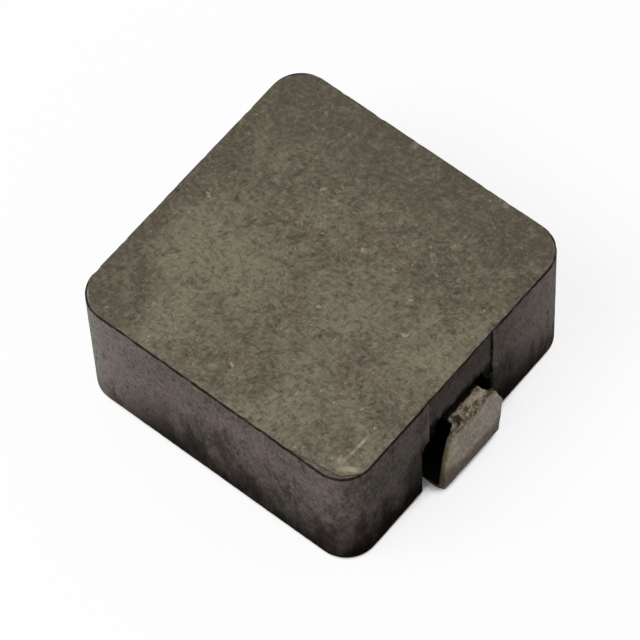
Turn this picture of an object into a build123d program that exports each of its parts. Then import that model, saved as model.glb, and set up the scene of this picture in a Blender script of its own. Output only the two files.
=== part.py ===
"""Moulded power inductor for surface mounting.

A flat wire winding is welded to two lead frame tabs, and iron powder is pressed round both in one
die. The strips that stand out of the block are then folded down its sides and under its base.
Z = 0 is the face of the solder pads, +X is the side of the right terminal, and the winding's axis
is Z. All sizes are in millimetres.
"""

import os
from math import atan2, degrees, pi, radians, sqrt, tan

from build123d import *

# Pressed core
body_side = 12.6
body_height = 6.1
corner_radius = 1.28
standoff = 0.1
parting_height = 3.25

# Thin step that the punches leave round the top and the base
land_height = 0.08
land_inset = 0.04
corner_ledge = 0.15

# Places for the terminals in the core's sides and base
groove_side_gap = 0.185
groove_depth = 0.1
window_side_gap = 0.5
window_height = 0.5
window_corner = 0.2
pocket_side_gap = 0.325
pocket_depth = 0.5
pocket_corner = 0.25
pad_seat_gap = 0.05
pad_end_gap = 0.25

# Lead frame strip
strip_thickness = 0.25
neck_width = 1.8
shoulder_width = 2.5
foot_width = 3.25
stand_out = 0.7
leg_lean = 0.15
top_bend_radius = 0.15
foot_bend_radius = 0.3
neck_drop = 0.3
shoulder_length = 1.1
foot_drift = 0.3
pad_length = 2.6
pad_corner = 0.3

# Tab in the core, with the bar that reaches to the tail of the winding
tab_gap = 0.25
bar_width = 0.7
weld_length = 0.9

# Winding of flat wire on its edge
wire_width = 1.9
wire_thickness = 0.42
enamel_gap = 0.05
turns = 5
powder_wall = 1.85
tail_slope = 45
tail_bend_radius = 0.4
tail_end_margin = 0.1
powder_gap = 0.05

# Heights
base_z = standoff
top_z = base_z + body_height
tab_bottom_z = base_z + parting_height
tab_mid_z = tab_bottom_z + strip_thickness / 2
tab_top_z = tab_bottom_z + strip_thickness
shoulder_top_z = tab_top_z - neck_drop
shoulder_bottom_z = shoulder_top_z - shoulder_length
foot_bend_z = foot_bend_radius + strip_thickness

# Places along X, on the side of the right terminal
side_x = body_side / 2
leg_outer_x = side_x + stand_out
leg_foot_x = leg_outer_x - strip_thickness / 2
leg_top_x = leg_foot_x - leg_lean
pad_end_x = leg_outer_x - pad_length
coil_outer_radius = side_x - powder_wall
coil_mean_radius = coil_outer_radius - wire_width / 2
coil_inner_radius = coil_outer_radius - wire_width
tab_inner_x = coil_outer_radius + tab_gap
bar_outer_x = tab_inner_x + bar_width
weld_outer_x = tab_inner_x + weld_length

# Widths that clear the strip: flat under the groove, through the window, and folded in the pocket
groove_width = foot_width + 2 * groove_side_gap
window_width = neck_width + 2 * window_side_gap
pocket_width = foot_width + 2 * pocket_side_gap

# The winding is centred on the tabs, so that both tails are bent alike.
turn_pitch = wire_thickness + enamel_gap
first_turn_z = tab_mid_z - turns * turn_pitch / 2
last_turn_z = tab_mid_z + turns * turn_pitch / 2
lead_angle = degrees(atan2(turn_pitch, 2 * pi * coil_mean_radius))


def upper_tail(margin):
    """The tail from the last turn to the right tab, with a margin on every side."""
    # It may bend down only where it has left the turns below it.
    clear_x = sqrt(coil_outer_radius**2 - coil_inner_radius**2)
    bend_x = clear_x + tail_bend_radius * tan(radians(tail_slope / 2))
    bend_z = last_turn_z + bend_x * tan(radians(lead_angle))
    flat_z = tab_top_z + wire_thickness / 2
    flat_x = bend_x + (bend_z - flat_z) / tan(radians(tail_slope))
    end_x = weld_outer_x - tail_end_margin + margin
    with BuildPart() as tail:
        with BuildSketch(Plane.XZ.offset(coil_inner_radius - margin)):
            with BuildLine():
                FilletPolyline(
                    (0, last_turn_z),
                    (bend_x, bend_z),
                    (flat_x, flat_z),
                    (end_x, flat_z),
                    radius=tail_bend_radius,
                )
            trace(line_width=wire_thickness + 2 * margin)
        extrude(amount=wire_width + 2 * margin)
    return tail.part


def lower_tail(margin):
    """The tail from the first turn to the left tab: the upper one, turned over across the tabs."""
    return upper_tail(margin).rotate(Axis((0, 0, tab_mid_z), (0, 1, 0)), 180)


# Winding: one length of flat wire from the bottom turn up, with both tails leaving on the -Y side
with BuildPart() as coil_winding:
    with BuildLine() as turns_path:
        turns_line = Helix(
            pitch=turn_pitch,
            height=turns * turn_pitch,
            radius=coil_mean_radius,
            center=(0, 0, first_turn_z),
            mode=Mode.PRIVATE,
        )
        add(turns_line.rotate(Axis.Z, -90))
    helix = turns_path.edges()[0]
    with BuildSketch(Plane(origin=helix @ 0, x_dir=(0, -1, 0), z_dir=helix % 0)):
        Rectangle(wire_width, wire_thickness)
    sweep(path=helix, is_frenet=True)
    add(upper_tail(0))
    add(lower_tail(0))
coil_winding.part.label = "coil_winding"

# Right terminal: one strip, flat in the core and folded outside it
with BuildPart() as terminal_right:
    # The strip's side view, from the bar in the core to the end of the pad. The leg springs back
    # a little from the fold, so it leans out towards the foot.
    with BuildSketch(Plane.XZ):
        with BuildLine():
            FilletPolyline(
                (bar_outer_x, tab_mid_z),
                (leg_top_x, tab_mid_z),
                (leg_foot_x, strip_thickness / 2),
                (pad_end_x, strip_thickness / 2),
                radius=[
                    top_bend_radius + strip_thickness / 2,
                    foot_bend_radius + strip_thickness / 2,
                ],
            )
        trace(line_width=strip_thickness)
    extrude(amount=foot_width, both=True)
    # Its front view: a narrow neck that flares out over the fold to shoulders and a wide foot,
    # which sits off to one side
    with BuildSketch(Plane.YZ):
        with BuildLine():
            Polyline(
                (neck_width / 2, tab_top_z),
                (shoulder_width / 2, shoulder_top_z),
                (foot_width / 2, shoulder_bottom_z),
                (foot_width / 2 - foot_drift, foot_bend_z),
                (foot_width / 2 - foot_drift, 0),
                (-foot_width / 2 - foot_drift, 0),
                (-foot_width / 2 - foot_drift, foot_bend_z),
                (-foot_width / 2, shoulder_bottom_z),
                (-shoulder_width / 2, shoulder_top_z),
                (-neck_width / 2, tab_top_z),
                close=True,
            )
        make_face()
    extrude(amount=leg_outer_x, mode=Mode.INTERSECT)
    pad_end = terminal_right.edges().filter_by(Axis.Z).group_by(Axis.Z)[0]
    fillet(pad_end, pad_corner)
    # The tab: a bar along the winding's side, wide where the tail is welded to it
    with BuildSketch(Plane.XY.offset(tab_bottom_z)) as tab_plan:
        with BuildLine():
            Polyline(
                (tab_inner_x, neck_width / 2),
                (bar_outer_x, neck_width / 2),
                (bar_outer_x, -coil_inner_radius),
                (weld_outer_x, -coil_inner_radius),
                (weld_outer_x, -coil_outer_radius),
                (tab_inner_x, -coil_outer_radius),
                close=True,
            )
        make_face()
    extrude(amount=strip_thickness)
terminal_right.part.label = "terminal_right"

# Left terminal: the strip on the other side of the lead frame, which is the right one's mirror image
with BuildPart() as terminal_left:
    add(mirror(terminal_right.part, about=Plane.YZ))
terminal_left.part.label = "terminal_left"

# Room that the die leaves for the right terminal in the side and the base of the core
with BuildPart() as terminal_room:
    # Shallow groove of the upper die, from the parting plane to the thin step at the top
    with BuildSketch(Plane.YZ.offset(side_x)):
        with Locations((0, tab_bottom_z)):
            Rectangle(groove_width, top_z - land_height - tab_bottom_z, align=(Align.CENTER, Align.MIN))
    extrude(amount=-groove_depth)
    # Window above the parting plane, where the strip comes out
    with BuildSketch(Plane.YZ.offset(side_x)) as window:
        with Locations((0, tab_bottom_z)):
            Rectangle(window_width, window_height, align=(Align.CENTER, Align.MIN))
        chamfer(window.vertices().group_by(Axis.Y)[-1], window_corner)
    extrude(amount=-pocket_depth)
    # Wider pocket below it, which is centred on the foot
    with BuildSketch(Plane.YZ.offset(side_x)) as pocket:
        with Locations((-foot_drift, tab_bottom_z)):
            Rectangle(pocket_width, parting_height, align=(Align.CENTER, Align.MAX))
        chamfer(pocket.vertices().group_by(Axis.Y)[-1], pocket_corner)
    extrude(amount=-pocket_depth)
    # Seat of the solder pad in the base
    with BuildSketch(Plane.XY.offset(base_z)):
        with Locations((side_x, -foot_drift)):
            Rectangle(side_x - pad_end_x + pad_end_gap, pocket_width, align=(Align.MAX, Align.CENTER))
    extrude(amount=strip_thickness - standoff + pad_seat_gap)


def punch_land():
    """Outline of a punch face: the die's outline drawn in, with straighter corners."""
    corner_to_arc = corner_radius * (sqrt(2) - 1)
    across_corners = 2 * (body_side / sqrt(2) - corner_to_arc - corner_ledge)
    with BuildSketch() as land:
        RectangleRounded(
            body_side - 2 * land_inset, body_side - 2 * land_inset, corner_radius - land_inset
        )
        Rectangle(across_corners, across_corners, rotation=45, mode=Mode.INTERSECT)
    return land.sketch


# Core: pressed in one piece round the winding and the tabs
with BuildPart() as moulded_core:
    with BuildSketch(Plane.XY.offset(base_z + land_height)):
        RectangleRounded(body_side, body_side, corner_radius)
    extrude(amount=body_height - 2 * land_height)
    with BuildSketch(Plane.XY.offset(top_z - land_height)):
        add(punch_land())
    extrude(amount=land_height)
    with BuildSketch(Plane.XY.offset(base_z)):
        add(punch_land())
    extrude(amount=land_height)
    # Places for the terminals
    add(terminal_room.part, mode=Mode.SUBTRACT)
    add(mirror(terminal_room.part, about=Plane.YZ), mode=Mode.SUBTRACT)
    # The powder closes round the turns, the tails and the tabs
    with BuildSketch(Plane.XY.offset(first_turn_z - wire_thickness / 2 - powder_gap)):
        Circle(coil_outer_radius + powder_gap)
        Circle(coil_inner_radius - powder_gap, mode=Mode.SUBTRACT)
    extrude(
        amount=turns * turn_pitch + wire_thickness + 2 * powder_gap,
        mode=Mode.SUBTRACT,
    )
    add(upper_tail(powder_gap), mode=Mode.SUBTRACT)
    add(lower_tail(powder_gap), mode=Mode.SUBTRACT)
    add(terminal_right.part, mode=Mode.SUBTRACT)
    add(terminal_left.part, mode=Mode.SUBTRACT)
moulded_core.part.label = "moulded_core"

os.makedirs("parts", exist_ok=True)
export_step(moulded_core.part, "parts/moulded_core.step")
export_step(coil_winding.part, "parts/coil_winding.step")
export_step(terminal_right.part, "parts/terminal_right.step")
export_step(terminal_left.part, "parts/terminal_left.step")
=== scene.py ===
from math import atan2, copysign, cos, degrees, hypot, pi, radians, sin, sqrt, tan

import bmesh
import bpy
from mathutils import Matrix, Quaternion, Vector, noise


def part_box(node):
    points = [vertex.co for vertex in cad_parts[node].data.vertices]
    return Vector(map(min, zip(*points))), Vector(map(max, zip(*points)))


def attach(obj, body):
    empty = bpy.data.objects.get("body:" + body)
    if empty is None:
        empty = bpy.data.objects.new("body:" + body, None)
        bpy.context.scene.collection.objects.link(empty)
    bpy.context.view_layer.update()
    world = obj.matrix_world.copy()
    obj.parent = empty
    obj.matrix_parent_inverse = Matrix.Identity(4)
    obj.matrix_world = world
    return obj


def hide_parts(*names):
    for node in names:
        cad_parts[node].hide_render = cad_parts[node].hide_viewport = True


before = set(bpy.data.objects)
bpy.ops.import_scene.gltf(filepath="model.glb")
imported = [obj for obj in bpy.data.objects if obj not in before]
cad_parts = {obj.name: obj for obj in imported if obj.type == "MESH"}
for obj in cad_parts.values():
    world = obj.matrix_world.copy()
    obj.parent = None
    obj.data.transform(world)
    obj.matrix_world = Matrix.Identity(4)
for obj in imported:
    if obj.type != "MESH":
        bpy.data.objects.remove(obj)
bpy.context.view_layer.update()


# Winding
# One length of flat copper wire under clear enamel, wound on its edge before the powder is
# pressed round it. Nothing of it shows, so its solid stays as it is and only gets its finish.

mm = 0.001


def screen(red, green, blue):
    """A colour as it looks on a screen, from 0 to 255, as the shader wants it."""
    return [((c / 255 + 0.055) / 1.055) ** 2.4 for c in (red, green, blue)] + [1]


class Finish:
    """A material whose patterns are laid out in millimetres of the part."""

    def __init__(self, name):
        self.material = bpy.data.materials.new(name)
        self.material.use_nodes = True
        self.nodes = self.material.node_tree.nodes
        self.links = self.material.node_tree.links
        self.shader = self.nodes["Principled BSDF"]
        place = self.nodes.new("ShaderNodeTexCoord")
        self.place = self.stretch(place.outputs["Object"], 1 / mm, 1 / mm, 1 / mm)

    def feed(self, socket, value):
        """Gives a socket its value, or links it to what works the value out."""
        if isinstance(value, bpy.types.NodeSocket):
            self.links.new(value, socket)
        else:
            socket.default_value = value

    def stretch(self, vector, along_x, along_y, along_z):
        """The same coordinates, scaled apart along each axis."""
        mapping = self.nodes.new("ShaderNodeMapping")
        mapping.inputs["Scale"].default_value = (along_x, along_y, along_z)
        self.links.new(vector, mapping.inputs["Vector"])
        return mapping.outputs["Vector"]

    def turn(self, vector, angle):
        """The same coordinates, turned about Z by so many degrees."""
        turned = self.nodes.new("ShaderNodeMapping")
        turned.inputs["Rotation"].default_value = (0, 0, radians(angle))
        self.links.new(vector, turned.inputs["Vector"])
        return turned.outputs["Vector"]

    def stir(self, vector, size, amount):
        """The same coordinates, pushed about, so that what follows them wanders."""
        cloud = self.nodes.new("ShaderNodeTexNoise")
        cloud.inputs["Scale"].default_value = 1 / size
        cloud.inputs["Detail"].default_value = 2
        self.links.new(vector, cloud.inputs["Vector"])
        pushed = self.nodes.new("ShaderNodeVectorMath")
        pushed.operation = "MULTIPLY_ADD"
        pushed.inputs[1].default_value = (amount, amount, amount)
        self.links.new(cloud.outputs["Color"], pushed.inputs[0])
        self.links.new(vector, pushed.inputs[2])
        return pushed.outputs["Vector"]

    def distance(self, vector, point):
        """How far a place is from a point, seen from above."""
        flat = self.stretch(vector, 1, 1, 0)
        between = self.nodes.new("ShaderNodeVectorMath")
        between.operation = "DISTANCE"
        self.links.new(flat, between.inputs[0])
        between.inputs[1].default_value = point
        return between.outputs["Value"]

    def split(self, vector):
        """The three coordinates, apart."""
        apart = self.nodes.new("ShaderNodeSeparateXYZ")
        self.links.new(vector, apart.inputs[0])
        return apart.outputs

    def mark(self, name):
        """A value that the mesh itself carries."""
        attribute = self.nodes.new("ShaderNodeAttribute")
        attribute.attribute_name = name
        return attribute.outputs["Fac"]

    def clouds(self, size, detail=3, swirl=0.0, place=None, rough=0.5):
        """Soft noise whose blobs are about so many millimetres across."""
        cloud = self.nodes.new("ShaderNodeTexNoise")
        cloud.inputs["Scale"].default_value = 1 / size
        cloud.inputs["Detail"].default_value = detail
        cloud.inputs["Roughness"].default_value = rough
        cloud.inputs["Distortion"].default_value = swirl
        self.links.new(place or self.place, cloud.inputs["Vector"])
        return cloud.outputs["Fac"]

    def ramp(self, value, start, end, low=0.0, high=1.0):
        """The value taken from one range to another, without passing its ends."""
        ranged = self.nodes.new("ShaderNodeMapRange")
        ranged.interpolation_type = "SMOOTHSTEP"
        ranged.inputs["From Min"].default_value = start
        ranged.inputs["From Max"].default_value = end
        ranged.inputs["To Min"].default_value = low
        ranged.inputs["To Max"].default_value = high
        self.links.new(value, ranged.inputs["Value"])
        return ranged.outputs["Result"]

    def maths(self, operation, first, second):
        """Two numbers or patterns, put together."""
        maths = self.nodes.new("ShaderNodeMath")
        maths.operation = operation
        self.feed(maths.inputs[0], first)
        self.feed(maths.inputs[1], second)
        return maths.outputs[0]

    def times(self, first, second):
        return self.maths("MULTIPLY", first, second)

    def plus(self, first, second):
        return self.maths("ADD", first, second)

    def minus(self, first, second):
        return self.maths("SUBTRACT", first, second)

    def higher(self, first, second):
        return self.maths("MAXIMUM", first, second)

    def size_of(self, value):
        """The value without its sign."""
        return self.maths("ABSOLUTE", value, 0)

    def ragged(self, value, pattern, reach):
        """The value, pushed so far up and down by a pattern, so that its edges are ragged."""
        return self.plus(value, self.ramp(pattern, 0.3, 0.7, -reach, reach))

    def blend(self, factor, under, over):
        """One colour where the factor is 0, and the other over it where it is 1."""
        mix = self.nodes.new("ShaderNodeMix")
        mix.data_type = "RGBA"
        self.feed(mix.inputs["Factor"], factor)
        self.feed(mix.inputs["A"], under)
        self.feed(mix.inputs["B"], over)
        return mix.outputs["Result"]

    def tint(self, under, pattern, start, end, strength, colour):
        """A screen colour laid over what is there, stronger as the pattern nears its end."""
        return self.blend(self.ramp(pattern, start, end, 0.0, strength), under, screen(*colour))

    def height(self, value, depth, under=None):
        """Bumps as deep as so many millimetres, on top of other bumps if there are some."""
        bump = self.nodes.new("ShaderNodeBump")
        bump.inputs["Distance"].default_value = depth * mm
        self.links.new(value, bump.inputs["Height"])
        if under:
            self.links.new(under, bump.inputs["Normal"])
        return bump.outputs["Normal"]


enamelled_copper = Finish("enamelled_copper")
wire_tone = enamelled_copper.clouds(0.6)
enamelled_copper.feed(
    enamelled_copper.shader.inputs["Base Color"],
    enamelled_copper.blend(wire_tone, screen(150, 84, 50), screen(186, 112, 70)),
)
enamelled_copper.shader.inputs["Metallic"].default_value = 1.0
enamelled_copper.shader.inputs["Roughness"].default_value = 0.3
enamelled_copper.shader.inputs["Coat Weight"].default_value = 0.6
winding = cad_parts["coil_winding"]
winding.data.materials.clear()
winding.data.materials.append(enamelled_copper.material)


# Terminals
# Two strips of tinned copper, punched from one lead frame. The core holds the tab of each, and
# its leg is folded down the side and under the base, which cracks the tin on the tight bend.


def corners(node):
    """The lowest and highest corners of a solid, in millimetres."""
    return [[round(c / mm, 3) for c in corner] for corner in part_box(node)]


strip_low, strip_high = corners("terminal_right")
core_low, core_high = corners("moulded_core")
core_side = core_high[0]

strip_thickness = 0.25
tab_top = strip_high[2]
leg_top_x = 6.85
leg_foot_x = 7.0
strip_start = 5.4
pad_end = strip_low[0]
top_bend = 0.4
foot_bend = 0.55
neck_half = 0.9
shoulder_top = 3.3
shoulder_half = 1.25
shoulder_bottom = 2.2
foot_half = 1.625
foot_drift = 0.3
pad_corner = 0.3
tab_start = 4.7
weld_start = -2.55
weld_end = strip_low[1]
weld_outer = 5.6
cells_along = 210
cells_across = 44
hair = 0.001

# What the punch, the fold and the tin bath leave: slips of the edges, a trimmed corner, lumps
# and a cracked crust, sunk a little so that nothing stands out of the solid
neck_slip = 0.1
neck_slip_x = 6.75
neck_slip_z = 3
punch_slip = 0.03
punch_wave = 1.7
trimmed_corner = 0.18
trim_top = 0.8
trim_foot = 0.1
cut_edge_round = 0.03
cut_edge_turn = 1
pad_flat = 0.02
lump_sink = 0.008
crust_height = 0.035
crust_sink = 0.01
crust_bottom = 3
crust_pit = (6.8, -0.4, 0)

lean = atan2(leg_foot_x - leg_top_x, tab_top)
top_turn = pi / 2 - lean
foot_turn = pi / 2 + lean
top_cut = top_bend * tan(top_turn / 2)
foot_cut = foot_bend * tan(foot_turn / 2)
flat_run = leg_top_x - top_cut - strip_start
top_run = top_bend * top_turn
leg_run = tab_top / cos(lean) - top_cut - foot_cut
foot_run = foot_bend * foot_turn
pad_start = leg_foot_x - foot_cut
pad_run = pad_start - pad_end


def blend_between(value, start, end):
    """0 at the start, 1 at the end, and a soft change between them."""
    share = min(1, max(0, (value - start) / (end - start)))
    return share * share * (3 - 2 * share)


def lumps(place, fineness, height, shift=Vector()):
    """How high soft lumps stand at a place; the shift moves them along."""
    return height * noise.noise(place * fineness + shift)


def fold_line(along):
    """The strip's outer face in its side view, so far along from its inner end."""
    if along < flat_run:
        return strip_start + along, tab_top
    along -= flat_run
    if along < top_run:
        turn = along / top_bend
        return leg_top_x - top_cut + top_bend * sin(turn), tab_top - top_bend * (1 - cos(turn))
    along -= top_run
    if along < leg_run:
        down = top_cut + along
        return leg_top_x + down * sin(lean), tab_top - down * cos(lean)
    along -= leg_run
    if along < foot_run:
        turn = along / foot_bend - lean
        return pad_start + foot_bend * cos(turn), foot_bend * (1 - sin(turn))
    along -= foot_run
    return pad_start - along, 0.0


def punched_edges(x, z, seed):
    """The strip's two edges along Y, with the small slips of the punch."""
    flare = min(1, (tab_top - z) / (tab_top - shoulder_top))
    widening = min(1, max(0, (shoulder_top - z) / (shoulder_top - shoulder_bottom)))
    drift = foot_drift * min(1, max(0, (shoulder_bottom - z) / (shoulder_bottom - foot_bend)))
    half = neck_half + (shoulder_half - neck_half) * flare + (foot_half - shoulder_half) * widening
    aside = neck_slip * blend_between(x, neck_slip_x, core_side) * blend_between(z, neck_slip_z, tab_top)
    left, right = -half - drift + aside, half - drift
    left += trimmed_corner * blend_between(z, trim_top, trim_foot)
    left += lumps(Vector((x, 0, z)), punch_wave, punch_slip, Vector((0, seed, 0)))
    right += lumps(Vector((x, 0, z)), punch_wave, punch_slip, Vector((0, seed + 9, 0)))
    return left, right


def folded_sheet(seed):
    """The outer face of a terminal, from the end of its pad to the weld area on its tab."""
    mesh = bmesh.new()
    bmesh.ops.create_grid(mesh, x_segments=cells_along, y_segments=cells_across, size=1)
    length = flat_run + top_run + leg_run + foot_run + pad_run
    for vertex in mesh.verts:
        x, z = fold_line((vertex.co.x + 1) / 2 * length)
        left, right = punched_edges(x, z, seed)
        y = left + (vertex.co.y + 1) / 2 * (right - left)
        if z == 0:
            past_corner = min(pad_corner, max(left - y, y - right) + pad_corner)
            short = pad_corner - sqrt(pad_corner**2 - max(0, past_corner) ** 2)
            x += short * (pad_start - x) / (pad_start - pad_end)
        vertex.co = (x, y, z)
    # Inside the core the tab goes on as a bar along Y, with the weld area at its end.
    inner_end = [e for e in mesh.edges if all(v.co.x < strip_start + hair for v in e.verts)]
    inner_end = [e for e in inner_end if e.verts[0].co.z > tab_top / 2]
    grown = bmesh.ops.extrude_edge_only(mesh, edges=inner_end)["geom"]
    bar = [v for v in grown if isinstance(v, bmesh.types.BMVert)]
    for vertex in bar:
        vertex.co.x = tab_start
    corner = min(bar, key=lambda v: v.co.y)
    open_edge = [e for e in corner.link_edges if abs(e.verts[0].co.x - e.verts[1].co.x) > hair]
    for end_y in (weld_start, weld_end):
        grown = bmesh.ops.extrude_edge_only(mesh, edges=open_edge)["geom"]
        moved = [v for v in grown if isinstance(v, bmesh.types.BMVert)]
        for vertex in moved:
            vertex.co.y = end_y
            if end_y == weld_end and vertex.co.x > tab_start + hair:
                vertex.co.x = weld_outer
        new_edges = [e for e in grown if isinstance(e, bmesh.types.BMEdge)]
        open_edge = [e for e in new_edges if set(e.verts) == set(moved)]
    bmesh.ops.recalc_face_normals(mesh, faces=mesh.faces)
    return mesh


def into_scene(name, data):
    """A new object in the scene, at the origin."""
    thing = bpy.data.objects.new(name, data)
    bpy.context.scene.collection.objects.link(thing)
    return thing


def made_piece(name, mesh, sharp_turn):
    """A piece in metres, shaded smooth apart from edges that turn by more than so many degrees."""
    bmesh.ops.scale(mesh, verts=mesh.verts, vec=(mm, mm, mm))
    data = bpy.data.meshes.new(name)
    mesh.to_mesh(data)
    mesh.free()
    data.shade_smooth()
    data.set_sharp_from_angle(angle=radians(sharp_turn))
    return into_scene(name, data)


def folded_strip(name, node, side, seed):
    """One terminal, with the tin roughened where the fold is tight; the seed sets its slips."""
    mesh = folded_sheet(seed)
    if max(mesh.faces, key=lambda f: f.calc_center_median().x).normal.x < 0:
        bmesh.ops.reverse_faces(mesh, faces=mesh.faces)
    inner = mesh.verts.layers.float.new("inner_face")
    outer_places = {vertex.co.to_tuple(4) for vertex in mesh.verts}
    bmesh.ops.solidify(mesh, geom=mesh.faces[:], thickness=strip_thickness)
    for vertex in mesh.verts:
        vertex[inner] = 0 if vertex.co.to_tuple(4) in outer_places else 1
    mesh.normal_update()
    cut_edges = [e for e in mesh.edges if len(e.link_faces) == 2 and e.calc_face_angle() > cut_edge_turn]
    bmesh.ops.bevel(
        mesh, geom=cut_edges, offset=cut_edge_round, segments=2, profile=0.5, affect="EDGES", material=-1
    )
    mesh.normal_update()
    drift = Vector((seed, 0, 0))
    bumps = []
    for vertex in mesh.verts:
        place = vertex.co
        on_bend = blend_between(place.x, core_side + 0.08, core_side + 0.2)
        on_bend *= blend_between(place.z, crust_bottom, shoulder_top)
        swell = lumps(place, 1.3, 0.012, drift) + lumps(place, 5, 0.004, drift)
        crust = lumps(place, 4.5, crust_height, drift) + lumps(place, 11, 0.6 * crust_height, drift)
        bumps.append(swell - lump_sink + on_bend * (crust - crust_sink))
    for vertex, bump in zip(mesh.verts, bumps):
        if vertex.co.x > strip_start and vertex.co.z > pad_flat:
            vertex.co += vertex.normal * bump
    if side < 0:
        bmesh.ops.scale(mesh, verts=mesh.verts, vec=(-1, 1, 1))
        bmesh.ops.reverse_faces(mesh, faces=mesh.faces)
    piece = made_piece(name, mesh, 50)
    piece.data.materials.append(tinning.material)
    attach(piece, "root")
    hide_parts(node)


# The tin: mottled, yellowed by one edge, paler by the other, and with brown painted shade down to the
# foot
tinning = Finish("tinned_copper")
tin_x, tin_y, tin_z = tinning.split(tinning.place)
tin_out = tinning.size_of(tin_x)
tin_patches = tinning.clouds(0.8, detail=4)
tin_grain = tinning.clouds(0.13, detail=3)
tin = tinning.blend(tin_patches, screen(118, 108, 93), screen(150, 139, 123))
yellow_edge = tinning.ragged(tin_y, tin_patches, 0.2)
tin = tinning.tint(tin, yellow_edge, -0.5, -1.3, 0.85, (142, 135, 104))
tin = tinning.tint(tin, tin_y, -0.2, 0.9, 0.5, (160, 149, 136))
tin = tinning.tint(tin, tin_grain, 0.38, 0.62, 0.5, (104, 94, 82))
tin = tinning.tint(tin, tinning.clouds(0.45, detail=4), 0.5, 0.68, 0.5, (170, 160, 148))
ragged_tin_z = tinning.ragged(tin_z, tin_patches, 0.12)
# Painted shade: brown where the leg turns down into the foot, which also dulls the metal there
foot_shade_edge = tinning.plus(ragged_tin_z, tinning.ramp(tin_y, -1.9, -0.7, -0.4, 0.0))
foot_shade = tinning.ramp(foot_shade_edge, 0.6, 1.8, 0.95, 0.0)
foot_shade = tinning.times(foot_shade, tinning.ramp(tin_out, core_side, core_side + 0.4))
tin = tinning.blend(foot_shade, tin, screen(82, 63, 52))

# The crust on the bend: pale flakes of tin, browned towards the leg, over dark pits
crust_place = tinning.times(
    tinning.ramp(tin_out, core_side - 0.05, core_side + 0.1),
    tinning.ramp(ragged_tin_z, 3.2, 3.36),
)
crust_tone = tinning.clouds(0.34, detail=6, rough=0.7)
flake_tone = tinning.clouds(0.16, detail=4, rough=0.65)
browned = tinning.plus(crust_tone, tinning.ramp(tin_out, 6.5, 6.78, -0.08, 0.1))
browned = tinning.ramp(browned, 0.42, 0.56)
bare_crust = tinning.blend(browned, screen(196, 184, 161), screen(124, 106, 86))
bare_crust = tinning.tint(bare_crust, crust_tone, 0.58, 0.66, 0.9, (42, 32, 24))
bare_crust = tinning.tint(bare_crust, flake_tone, 0.5, 0.68, 0.85, (206, 195, 172))
bare_crust = tinning.tint(bare_crust, flake_tone, 0.5, 0.34, 0.8, (66, 52, 40))
from_pit = tinning.distance(tinning.stir(tinning.place, 0.12, 0.45), crust_pit)
bare_crust = tinning.tint(bare_crust, from_pit, 0.3, 0.12, 0.85, (30, 22, 16))
tin = tinning.blend(crust_place, tin, bare_crust)

# Black in the shade: where the strip enters the core, its inner face, and the edges of the pad
buried_edge = tinning.ragged(tin_out, crust_tone, 0.06)
buried = tinning.times(
    tinning.ramp(buried_edge, core_side + 0.08, core_side - 0.02),
    tinning.ramp(tin_z, 2.6, crust_bottom),
)
inner_face = tinning.ramp(tinning.mark("inner_face"), 0.75, 0.95)
pad_edge = tinning.times(
    tinning.ramp(tin_z, 2 * strip_thickness, strip_thickness), tinning.ramp(tin_out, 6.8, 6.5)
)
pad_edge = tinning.times(pad_edge, tinning.ramp(tin_z, 0.03, 0.08))
shaded = tinning.higher(tinning.higher(inner_face, pad_edge), buried)
tin = tinning.blend(shaded, tin, screen(16, 13, 11))
tinning.feed(tinning.shader.inputs["Base Color"], tin)
dull = tinning.higher(tinning.higher(shaded, crust_place), foot_shade)
tinning.feed(tinning.shader.inputs["Metallic"], tinning.ramp(dull, 0.0, 1.0, 0.5, 0.0))
tinning.shader.inputs["Specular IOR Level"].default_value = 0.1
tinning.feed(
    tinning.shader.inputs["Roughness"], tinning.ramp(tin_grain, 0.3, 0.7, 0.42, 0.62)
)
tinning.feed(
    tinning.shader.inputs["Normal"],
    tinning.height(tin_grain, 0.02, tinning.height(flake_tone, 0.03)),
)
folded_strip("right_strip", "terminal_right", 1, 3.7)
folded_strip("left_strip", "terminal_left", -1, 8.2)


# Core
# A block of iron powder in resin, pressed between two punches in a square die. The die's walls
# smear its sides, and the punches leave a thin step all round the top and the base.

base_z = core_low[2]
core_top = core_high[2]
land_height = 0.08
land_inset = 0.04
corner_radius = 1.28
corner_ledge = 0.15
land_rim = 0.03
step_round = 0.01
wall_rim = 0.02
rim_share = 0.3
parting_z = 3.35
groove_half = 1.81
groove_x = 6.2
window_half = 1.4
window_top = 3.85
window_corner = 0.2
pocket_middle = -0.3
pocket_half = 1.95
pocket_corner = 0.25
pocket_x = 5.8
seat_x = 4.15
seat_z = 0.3
near_terminal_y = pocket_half + 0.6
near_terminal_x = seat_x - 0.3
near_terminal_z = core_top - 0.1
cells = 130
wall_step = 0.105
join_within = 0.002
mend_within = 0.0005
flake_angle = radians(-82)
flake_way = Vector((cos(flake_angle), sin(flake_angle)))
flake_reach = 6.69
across_corners = core_side / sqrt(0.5) - corner_radius * (sqrt(2) - 1) - corner_ledge
land_corner = across_corners * sqrt(2)


def outline(quarter, place):
    """A point of the block's outline and the way out there; the place runs from -1 to 1."""
    straight = core_side - corner_radius
    share = straight / (straight + corner_radius * pi / 4)
    if abs(place) <= share:
        point = Vector((core_side, place / share * straight))
        out = Vector((1, 0))
    else:
        turn = (abs(place) - share) / (1 - share) * pi / 4
        out = Vector((cos(turn), copysign(sin(turn), place)))
        point = Vector((straight, copysign(straight, place))) + out * corner_radius
    turned = Matrix.Rotation(quarter * pi / 2, 2)
    return turned @ point, turned @ out


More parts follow.
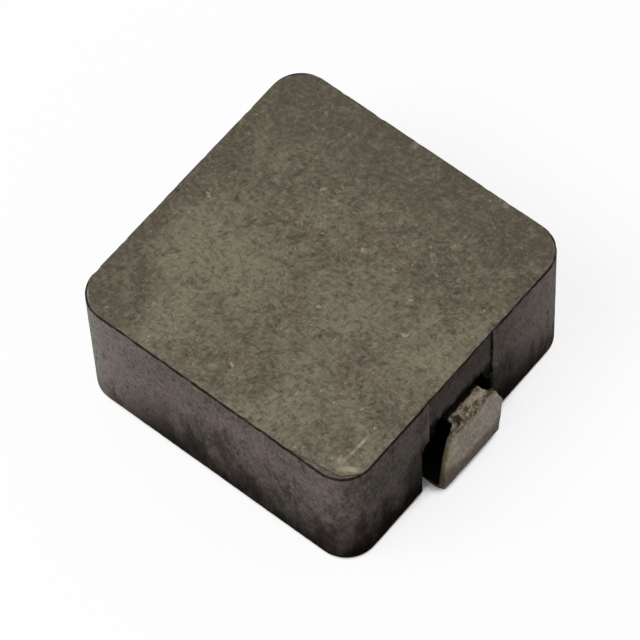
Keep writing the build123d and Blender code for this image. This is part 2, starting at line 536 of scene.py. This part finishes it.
def land_outline(quarter, place, inset, z):
    """A point of a punch face's outline, with its straighter corners; the top has lost a flake."""
    point, out = outline(quarter, place)
    point -= out * inset
    over = max(0, (abs(point.x) + abs(point.y) - land_corner) / 2)
    point -= Vector((copysign(over, point.x), copysign(over, point.y)))
    if z > parting_z:
        point -= flake_way * max(0, point.dot(flake_way) - flake_reach)
    return point


def pressed_face(mesh, z):
    """The flat that a punch leaves, as a grid that follows the block's outline."""
    grid = bmesh.ops.create_grid(mesh, x_segments=cells, y_segments=cells, size=1)["verts"]
    for vertex in grid:
        across, up = vertex.co.x, vertex.co.y
        ring = max(abs(across), abs(up))
        if abs(across) >= abs(up):
            quarter = 0 if across > 0 else 2
            place = up / across if across else 0
        else:
            quarter = 1 if up > 0 else 3
            place = -across / up
        point = land_outline(quarter, place, land_inset + land_rim, z) * ring
        vertex.co = (point.x, point.y, z)
    return grid


def pressed_wall(mesh):
    """The wall that the die leaves, with the thin step of the punches above and below."""
    step_z = core_top - land_height
    half_profile = [
        (core_top, land_inset + land_rim, True),
        (core_top - rim_share * land_rim, land_inset + rim_share * land_rim, True),
        (core_top - land_rim, land_inset, True),
        (step_z + step_round, land_inset + step_round, True),
        (step_z, wall_rim, False),
        (step_z - rim_share * wall_rim, rim_share * wall_rim, False),
        (step_z - wall_rim, 0.0, False),
    ]
    middle = (base_z + core_top) / 2
    wall_half = half_profile[-1][0] - middle
    steps = int(wall_half / wall_step)
    half_profile += [(middle + wall_half * (1 - k / steps), 0.0, False) for k in range(1, steps)]
    profile = half_profile + [(middle, 0.0, False)]
    profile += [(2 * middle - z, inset, on_land) for z, inset, on_land in reversed(half_profile)]
    rows = len(profile) - 1
    grid = bmesh.ops.create_grid(mesh, x_segments=4 * cells, y_segments=rows, size=1)["verts"]
    for vertex in grid:
        around = round((vertex.co.x + 1) / 2 * 4 * cells)
        quarter = min(3, around // cells)
        place = 2 * (around - quarter * cells) / cells - 1
        z, inset, on_land = profile[round((1 - vertex.co.y) / 2 * rows)]
        if on_land:
            point = land_outline(quarter, place, inset, z)
        else:
            point, out = outline(quarter, place)
            point -= out * inset
        vertex.co = (point.x, point.y, z)


def near_terminal(centre):
    near = abs(centre.y) < near_terminal_y and abs(centre.x) > near_terminal_x
    return near and centre.z < near_terminal_z


def slice_faces(mesh, point, normal):
    """Cuts the faces round the terminals along a plane."""
    faces = [f for f in mesh.faces if near_terminal(f.calc_center_median())]
    # Each edge and vertex once, in an order that is the same in every run
    edges = list(dict.fromkeys(e for f in faces for e in f.edges))
    verts = list(dict.fromkeys(v for f in faces for v in f.verts))
    bmesh.ops.bisect_plane(mesh, geom=faces + edges + verts, plane_co=point, plane_no=normal)


def sink_faces(mesh, wanted, settle):
    """Pushes the wanted faces into the block, to the places that settle gives them."""
    faces = [f for f in mesh.faces if near_terminal(f.calc_center_median())]
    faces = [f for f in faces if wanted(f.calc_center_median())]
    grown = bmesh.ops.extrude_face_region(mesh, geom=faces)["geom"]
    bmesh.ops.delete(mesh, geom=[f for f in faces if f.is_valid], context="FACES")
    for vertex in (v for v in grown if isinstance(v, bmesh.types.BMVert)):
        settle(vertex.co)


def on_groove(centre):
    return abs(centre.x) > groove_x + 0.01 and abs(centre.y) < groove_half and centre.z > parting_z


def settle_groove(place):
    place.x = copysign(min(abs(place.x), groove_x), place.x)


def on_recess(centre):
    out, aside = abs(centre.x), abs(centre.y)
    on_ledge = abs(centre.z - parting_z) < hair and out > groove_x - 0.01 and aside < groove_half
    in_window = parting_z < centre.z < window_top and aside < window_half and out > groove_x - 0.01
    in_window = in_window and aside + centre.z < window_half + window_top - window_corner
    pocket_aside = abs(centre.y - pocket_middle)
    in_pocket = centre.z < parting_z and pocket_aside < pocket_half and out > seat_x
    in_pocket = in_pocket and pocket_aside + centre.z < pocket_half + parting_z - pocket_corner
    in_pocket = in_pocket and (out > pocket_x + 0.3 or centre.z < base_z + 0.01)
    on_ledge = on_ledge and centre.y > pocket_middle - pocket_half + pocket_corner
    on_ledge = on_ledge and centre.y < pocket_middle + pocket_half - pocket_corner
    return on_ledge or in_window or in_pocket


def settle_recess(place):
    place.x = copysign(min(abs(place.x), pocket_x), place.x)
    place.z = max(place.z, seat_z)


block = bmesh.new()
pressed_face(block, core_top)
base_face = pressed_face(block, base_z)
bmesh.ops.reverse_faces(block, faces=list(dict.fromkeys(f for v in base_face for f in v.link_faces)))
pressed_wall(block)
bmesh.ops.remove_doubles(block, verts=block.verts, dist=join_within)
bmesh.ops.recalc_face_normals(block, faces=block.faces)
for half, middle in ((groove_half, 0), (window_half, 0), (pocket_half, pocket_middle)):
    for sign in (1, -1):
        slice_faces(block, (0, middle + sign * half, 0), (0, 1, 0))
        corner_y = middle + sign * (half - pocket_corner)
        slice_faces(block, (0, corner_y, parting_z), (0, 1, 0))
for height in (parting_z, window_top, seat_z):
    slice_faces(block, (0, 0, height), (0, 0, 1))
for sign in (1, -1):
    slice_faces(block, (sign * seat_x, 0, 0), (1, 0, 0))
    slice_faces(block, (sign * pocket_x, 0, 0), (1, 0, 0))
    chamfer_point = (0, sign * window_half, window_top - window_corner)
    slice_faces(block, chamfer_point, (0, sign, 1))
    chamfer_point = (0, pocket_middle + sign * pocket_half, parting_z - pocket_corner)
    slice_faces(block, chamfer_point, (0, sign, 1))
sink_faces(block, on_groove, settle_groove)
sink_faces(block, on_recess, settle_recess)
bmesh.ops.remove_doubles(block, verts=block.verts, dist=mend_within)
bmesh.ops.dissolve_degenerate(block, edges=block.edges, dist=mend_within)


def edge_reach(x, y):
    """How far a place lies inside the block's outline."""
    straight = core_side - corner_radius
    reach = hypot(max(0, abs(x) - straight), max(0, abs(y) - straight))
    return corner_radius - reach


# Places on the top where the rim is chipped, with the chip's radius
rim_chips = ((-6.24, -0.58, 0.3), (-0.63, 6.1, 0.3), (3.51, 6.15, 0.25))
chip_depth = 0.02

# The rim is ragged, the die drags waves and small pits into the walls, and the recesses are
# rough. All of it is sunk a little, so that nothing stands out of the solid.
rim_depth = 0.12
ragged_depth = 0.05
drag_height = 0.008
pit_depth = 0.03
recess_height = 0.02
grain_sink = 0.009
inset = block.verts.layers.float.new("inset")
for vertex in block.verts:
    vertex[inset] = edge_reach(vertex.co.x, vertex.co.y)
block.normal_update()
moves = []
for vertex in block.verts:
    x, y, z = vertex.co
    grain = lumps(vertex.co, 7, 0.003) + lumps(vertex.co, 2.3, 0.005)
    reach = edge_reach(x, y)
    if z > core_top - rim_depth:
        ragged = ragged_depth * max(0, lumps(vertex.co, 2.6, 1) - 0.12)
        grain -= ragged * blend_between(reach, 0.2, 0.03)
        for chip_x, chip_y, chip_radius in rim_chips:
            away = hypot(x - chip_x, y - chip_y)
            grain -= chip_depth * blend_between(away, chip_radius, 0.3 * chip_radius)
    elif reach < 0.05:
        grain += lumps(Vector((x * 4, y * 4, z * 0.35)), 1, drag_height)
        grain -= pit_depth * max(0, lumps(vertex.co, 3.1, 1, Vector((5, 0, 0))) - 0.35)
    elif z > seat_z - 0.01 and reach > 0.09:
        grain += lumps(vertex.co, 3.3, recess_height)
    moves.append(grain - grain_sink)
for vertex, move in zip(block.verts, moves):
    vertex.co += vertex.normal * move
pressed_block = made_piece("pressed_block", block, 40)

powder = Finish("pressed_powder")
powder_x, powder_y, powder_z = powder.split(powder.place)
pressed_block.data.materials.append(powder.material)
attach(pressed_block, "root")
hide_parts("moulded_core")

# The top: olive grey, mottled and fibrous, darker and browner towards the far side
stirred = powder.stir(powder.place, 1.3, 0.8)
fibre_place = powder.stretch(powder.turn(stirred, 15), 1, 0.45, 1)
cross_place = powder.stretch(powder.turn(stirred, 83), 1, 0.5, 1)
patches = powder.clouds(2.4, detail=3)
mottles = powder.clouds(0.5, detail=6, swirl=0.4, rough=0.6)
fibres = powder.clouds(0.11, detail=4, place=fibre_place, rough=0.6)
cross_fibres = powder.clouds(0.13, detail=4, place=cross_place, rough=0.6)
flecks = powder.clouds(0.2, detail=2, place=powder.stretch(fibre_place, 1, 1.5, 1))
grit = powder.clouds(0.07, detail=2, rough=0.6)
top_tone = powder.blend(powder.ramp(patches, 0.35, 0.65), screen(99, 92, 80), screen(120, 114, 97))
far_edge = powder.ragged(powder_y, patches, 1.2)
far_side = powder.ramp(far_edge, 1.6, 6.0, 0.0, 0.86)
near_left = powder.ragged(powder_x, patches, 1.0)
far_side = powder.higher(far_side, powder.ramp(near_left, -3.5, -6.3, 0.0, 0.65))
top_tone = powder.blend(far_side, top_tone, screen(82, 75, 65))

# Where the top is rubbed pale or left dull: the spot's place, radius and strength
rubbed_spots = ((-2.3, -1.9, 3.0, 0.5), (5.3, -0.8, 1.8, 0.6), (0.8, -3.6, 2.0, 0.2))
dull_spots = ((3.6, 1.4, 3.0, 0.3), (5.4, 5.2, 2.6, 0.75), (1.4, 0.6, 1.6, 0.1))
for spots, spot_tone in ((rubbed_spots, screen(124, 118, 98)), (dull_spots, screen(80, 73, 64))):
    for spot_x, spot_y, spot_radius, strength in spots:
        away = powder.distance(stirred, (spot_x + 0.4, spot_y + 0.4, 0))
        spot = powder.ramp(away, spot_radius, 0.2 * spot_radius, 0.0, strength)
        top_tone = powder.blend(spot, top_tone, spot_tone)
top_tone = powder.tint(top_tone, mottles, 0.5, 0.68, 0.55, (128, 122, 102))
top_tone = powder.tint(top_tone, mottles, 0.48, 0.3, 0.55, (74, 67, 56))
for threads in (fibres, cross_fibres):
    light_thread = powder.ramp(threads, 0.5, 0.72, 0.0, 0.45)
    dark_thread = powder.ramp(threads, 0.5, 0.28, 0.0, 0.55)
    top_tone = powder.blend(light_thread, top_tone, screen(142, 135, 115))
    top_tone = powder.blend(dark_thread, top_tone, screen(58, 51, 41))
top_tone = powder.tint(top_tone, grit, 0.5, 0.75, 0.3, (138, 131, 114))
top_tone = powder.tint(top_tone, grit, 0.5, 0.25, 0.3, (62, 56, 46))
top_tone = powder.tint(top_tone, flecks, 0.66, 0.76, 0.6, (166, 158, 134))
top_tone = powder.blend(powder.times(far_side, 0.45), top_tone, screen(92, 86, 75))

# The base has the same face, without the marks that the top gets below
base_tone = top_tone

# The sides: mauve grey and greenish where the die smeared them, with painted light at the left end and
# far corner, and painted shade down to the base
smears = powder.clouds(0.6, detail=5, place=powder.stretch(powder.place, 1, 1, 0.4), rough=0.6)
blots = powder.clouds(1.3, detail=5, swirl=0.6, rough=0.6)
wall_grit = powder.clouds(0.15, detail=3, place=powder.stretch(powder.place, 1, 1, 0.6), rough=0.7)
side_tone = powder.blend(powder.ramp(blots, 0.4, 0.6), screen(103, 99, 91), screen(122, 109, 106))
# Painted light: the sides grow paler towards the left front corner
left_light = powder.ramp(powder.ragged(powder_x, smears, 1), -1.5, -5.5)
left_light = powder.times(left_light, powder.ramp(powder_y, 0.5, -5.5))
side_tone = powder.blend(powder.times(left_light, 0.8), side_tone, screen(144, 134, 128))
# Painted light: a pale rim round the left corner
from_left_corner = powder.distance(powder.place, (-core_side, -core_side, 0))
left_corner = powder.ramp(from_left_corner, 1.6, 0.5, 0.0, 0.85)
side_tone = powder.blend(left_corner, side_tone, screen(146, 147, 139))
# Painted light: a pale rim round the far corner
from_far_corner = powder.distance(powder.place, (core_side, core_side, 0))
from_far_corner = powder.ragged(from_far_corner, smears, 0.6)
right_light = powder.ramp(from_far_corner, 4.2, 0.8)
side_tone = powder.blend(powder.times(right_light, 0.9), side_tone, screen(168, 156, 151))
side_tone = powder.tint(side_tone, smears, 0.52, 0.7, 0.35, (126, 120, 110))
side_tone = powder.tint(side_tone, smears, 0.46, 0.3, 0.5, (66, 59, 54))
side_tone = powder.tint(side_tone, wall_grit, 0.5, 0.7, 0.6, (148, 138, 131))
side_tone = powder.tint(side_tone, wall_grit, 0.5, 0.3, 0.6, (52, 45, 42))
# Painted shade: the sides darken down to the base and go nearly black at its foot, less where painted
# light falls and on the side towards the lamp
low = powder.ragged(powder_z, smears, 0.8)
low = powder.plus(low, powder.times(left_light, 2.2))
low = powder.plus(low, powder.times(right_light, 1.1))
side_tone = powder.tint(side_tone, low, 4.3, 0.6, 0.9, (38, 33, 29))
base_shade = powder.ragged(powder_z, smears, 0.35)
base_shade = powder.plus(base_shade, powder.higher(left_light, right_light))
base_shade = powder.plus(base_shade, powder.ramp(powder_y, -5.6, -6.25, 0.0, 0.6))
side_tone = powder.tint(side_tone, base_shade, 1.8, 0.6, 0.92, (16, 12, 9))

# The groove's floor is dark powder; painted shade darkens its walls, its foot, the side round the pocket
# and the recess, and its burnished edges get a painted highlight
out_x = powder.size_of(powder_x)
aside = powder.size_of(powder_y)
past_edge = powder.minus(aside, groove_half)
on_side = powder.ramp(out_x, core_side - 0.04, core_side - 0.02)
# Painted highlight along the groove's burnished edges
burnish_highlight = powder.times(powder.ramp(past_edge, 0.0, 0.03), powder.ramp(past_edge, 0.12, 0.05))
burnish_highlight = powder.times(burnish_highlight, powder.ramp(powder_z, 3.6, 4.6, 0.0, 0.3))
side_tone = powder.blend(powder.times(burnish_highlight, on_side), side_tone, screen(150, 142, 132))
within_groove = powder.ramp(past_edge, 0.01, 0.0)
groove_floor = powder.ramp(out_x, core_side - 0.02, core_side - 0.06)
groove_floor = powder.times(groove_floor, within_groove)
side_tone = powder.blend(powder.times(groove_floor, 0.45), side_tone, screen(62, 57, 51))
# Painted shade: black on the groove's walls, down the groove above the window, and round the pocket
groove_wall = powder.times(powder.ramp(past_edge, -0.07, -0.01), within_groove)
ragged_z = powder.ragged(powder_z, smears, 0.25)
over_window = powder.times(powder.ramp(ragged_z, window_top + 0.45, window_top + 0.05), within_groove)
near_pocket = powder.ramp(powder_y, -3.6, -2.2)
near_pocket = powder.times(near_pocket, powder.ramp(powder_y, 3.0, 1.75))
near_pocket = powder.times(near_pocket, powder.ramp(ragged_z, 3.8, 3.2))
near_pocket = powder.times(near_pocket, powder.ramp(out_x, 5.9, 6.1))
for shade_mask, strength in ((groove_wall, 0.9), (over_window, 0.85), (near_pocket, 0.5)):
    side_tone = powder.blend(powder.times(shade_mask, strength), side_tone, screen(14, 12, 10))
# Painted shade in the recess, over powder that is rough and darker there as well
recess_side = pocket_half - pocket_middle
in_recess = powder.times(
    powder.ramp(out_x, groove_x - 0.03, groove_x - 0.15),
    powder.ramp(aside, recess_side + 0.15, recess_side + 0.05),
)
side_tone = powder.blend(in_recess, side_tone, screen(12, 10, 9))


def scratch(start, end, width):
    """A straight mark on the top, soft at its ends and sides."""
    line = Vector(end) - Vector(start)
    way = line.normalized()
    middle = Vector(start) + line / 2
    turned = powder.turn(powder.place, -degrees(atan2(line.y, line.x)))
    along, across = powder.split(turned)[:2]
    from_middle = powder.size_of(powder.minus(along, middle.dot(way)))
    from_line = powder.size_of(powder.minus(across, way.cross(middle)))
    mark = powder.times(
        powder.ramp(from_middle, line.length / 2, 0.1 * line.length),
        powder.ramp(from_line, width / 2, width / 8),
    )
    return powder.times(mark, powder.ramp(mottles, 0.35, 0.6, 0.4, 1.0))


# A light scratch by the front corner, and the rim that is rubbed bright beside the flake:
# where each mark starts and ends, its width and its strength
top_marks = (
    ((5.41, -5.5), (5.48, -4.0), 0.17, 0.95),
    ((5.36, -5.75), (5.44, -5.0), 0.24, 0.45),
    ((5.3, -5.84), (6.2, -5.28), 0.3, 0.7),
)
for start, end, width, strength in top_marks:
    worn = powder.times(scratch(start, end, width), strength)
    top_tone = powder.blend(worn, top_tone, screen(168, 160, 138))

# The thin step under the rim gets a painted shadow line, apart from the wide ledge that the flake has
# left
tone = powder.blend(powder.ramp(powder_z, core_top - 0.03, core_top - 0.015), side_tone, top_tone)
step_foot = powder.plus(powder_z, powder.ramp(mottles, 0.35, 0.65, -0.03, 0.02))
step_line = powder.times(
    powder.ramp(step_foot, core_top - 0.18, core_top - 0.12),
    powder.ramp(powder_z, core_top - 0.025, core_top - 0.04),
)
on_ledge = powder.times(
    powder.ramp(powder.mark("inset"), 0.06, 0.1, 0.0, 0.8),
    powder.ramp(powder_z, core_top - 0.06, core_top - 0.07),
)
step_line = powder.minus(step_line, on_ledge)
step_line = powder.times(step_line, powder.ramp(mottles, 0.35, 0.55, 0.78, 0.95))
tone = powder.blend(step_line, tone, screen(32, 25, 21))
tone = powder.blend(powder.ramp(powder_z, base_z + 0.04, base_z + 0.02), tone, base_tone)

powder.feed(powder.shader.inputs["Base Color"], tone)
powder.feed(powder.shader.inputs["Roughness"], powder.ramp(mottles, 0.3, 0.7, 0.85, 0.65))
powder.shader.inputs["Specular IOR Level"].default_value = 0.005
powder.feed(
    powder.shader.inputs["Normal"],
    powder.height(grit, 0.02, powder.height(mottles, 0.03)),
)


# Studio
# The part stands on white paper, under one soft lamp and the even light of a white room. The
# camera looks down on it from where it is in the photograph.

floor_half = 3
paper_bounce = (0.2, 0.2, 0.2, 1)
paper_white = (0.97, 0.97, 0.97, 1)
paper_glow = 0.85
gap_reach = 3 * mm
gap_dark = 0.36
gap_open = 0.46
room_light = 0.46

floor_mesh = bmesh.new()
bmesh.ops.create_grid(floor_mesh, x_segments=1, y_segments=1, size=floor_half)
floor_data = bpy.data.meshes.new("floor")
floor_mesh.to_mesh(floor_data)
floor_mesh.free()
floor = into_scene("floor", floor_data)

# The eye and reflections see white paper, which throws little light back up on the part.
paper = Finish("paper")
paper.shader.inputs["Roughness"].default_value = 0.9
paper.shader.inputs["Specular IOR Level"].default_value = 0.0
floor_data.materials.append(paper.material)
rays = paper.nodes.new("ShaderNodeLightPath").outputs
seen = paper.higher(rays["Is Camera Ray"], rays["Is Glossy Ray"])
seen = paper.higher(seen, rays["Is Transmission Ray"])
paper.feed(paper.shader.inputs["Base Color"], paper.blend(seen, paper_bounce, paper_white))

# Only in the tight gap between a terminal and the core does the paper look dark.
gap_light = paper.nodes.new("ShaderNodeAmbientOcclusion")
gap_light.inputs["Distance"].default_value = gap_reach
open_paper = paper.nodes.new("ShaderNodeMapRange")
open_paper.inputs["From Min"].default_value = gap_dark
open_paper.inputs["From Max"].default_value = gap_open
open_paper.inputs["To Max"].default_value = paper_glow
paper.links.new(gap_light.outputs["AO"], open_paper.inputs["Value"])
paper_light = paper.nodes.new("ShaderNodeEmission")
paper_mix = paper.nodes.new("ShaderNodeMixShader")
paper.feed(paper_mix.inputs["Fac"], paper.times(seen, open_paper.outputs["Result"]))
paper.links.new(paper.shader.outputs[0], paper_mix.inputs[1])
paper.links.new(paper_light.outputs[0], paper_mix.inputs[2])
paper.links.new(paper_mix.outputs[0], paper.nodes["Material Output"].inputs["Surface"])

world = bpy.data.worlds.new("studio")
world.use_nodes = True
world_nodes = world.node_tree.nodes
world_links = world.node_tree.links
world_nodes["Background"].inputs["Color"].default_value = (1, 1, 1, 1)
world_rays = world_nodes.new("ShaderNodeLightPath")
world_seen = world_nodes.new("ShaderNodeMath")
world_seen.operation = "MAXIMUM"
world_strength = world_nodes.new("ShaderNodeMapRange")
world_strength.inputs["To Min"].default_value = room_light
world_strength.inputs["To Max"].default_value = 1.0
world_links.new(world_rays.outputs["Is Camera Ray"], world_seen.inputs[0])
world_links.new(world_rays.outputs["Is Glossy Ray"], world_seen.inputs[1])
world_links.new(world_seen.outputs[0], world_strength.inputs["Value"])
world_links.new(world_strength.outputs["Result"], world_nodes["Background"].inputs["Strength"])
bpy.context.scene.world = world


def way_to(azimuth, elevation):
    """The way from the part to what stands at these angles; at azimuth 0 it stands towards -Y."""
    turn, rise = radians(azimuth), radians(elevation)
    return Vector((sin(turn) * cos(rise), -cos(turn) * cos(rise), sin(rise)))


lamp_width = 0.3
lamp_power = 1.75
lamp_azimuth = -25
lamp_elevation = 55
lamp_distance = 0.5

lamp_data = bpy.data.lights.new("key_lamp", "AREA")
lamp_data.shape = "SQUARE"
lamp_data.size = lamp_width
lamp_data.energy = lamp_power
key_lamp = into_scene("key_lamp", lamp_data)
towards_lamp = way_to(lamp_azimuth, lamp_elevation)
key_lamp.location = towards_lamp * lamp_distance
key_lamp.rotation_euler = towards_lamp.to_track_quat("Z", "Y").to_euler()

camera_aim = Vector((0.0846, -0.302, 3.15)) * mm
camera_distance = 163.44 * mm
camera_azimuth = 41.944
camera_elevation = 60.362
camera_roll = -3.32
camera_lens = 256.64

camera_data = bpy.data.cameras.new("camera")
camera_data.lens = camera_lens
camera_data.sensor_width = 36
camera_data.clip_start = 0.01
camera = into_scene("camera", camera_data)
towards_camera = way_to(camera_azimuth, camera_elevation)
camera.location = camera_aim + towards_camera * camera_distance
upright = towards_camera.to_track_quat("Z", "Y")
camera.rotation_euler = (upright @ Quaternion((0, 0, 1), radians(camera_roll))).to_euler()
bpy.context.scene.camera = camera
bpy.context.scene.view_settings.view_transform = "Standard"
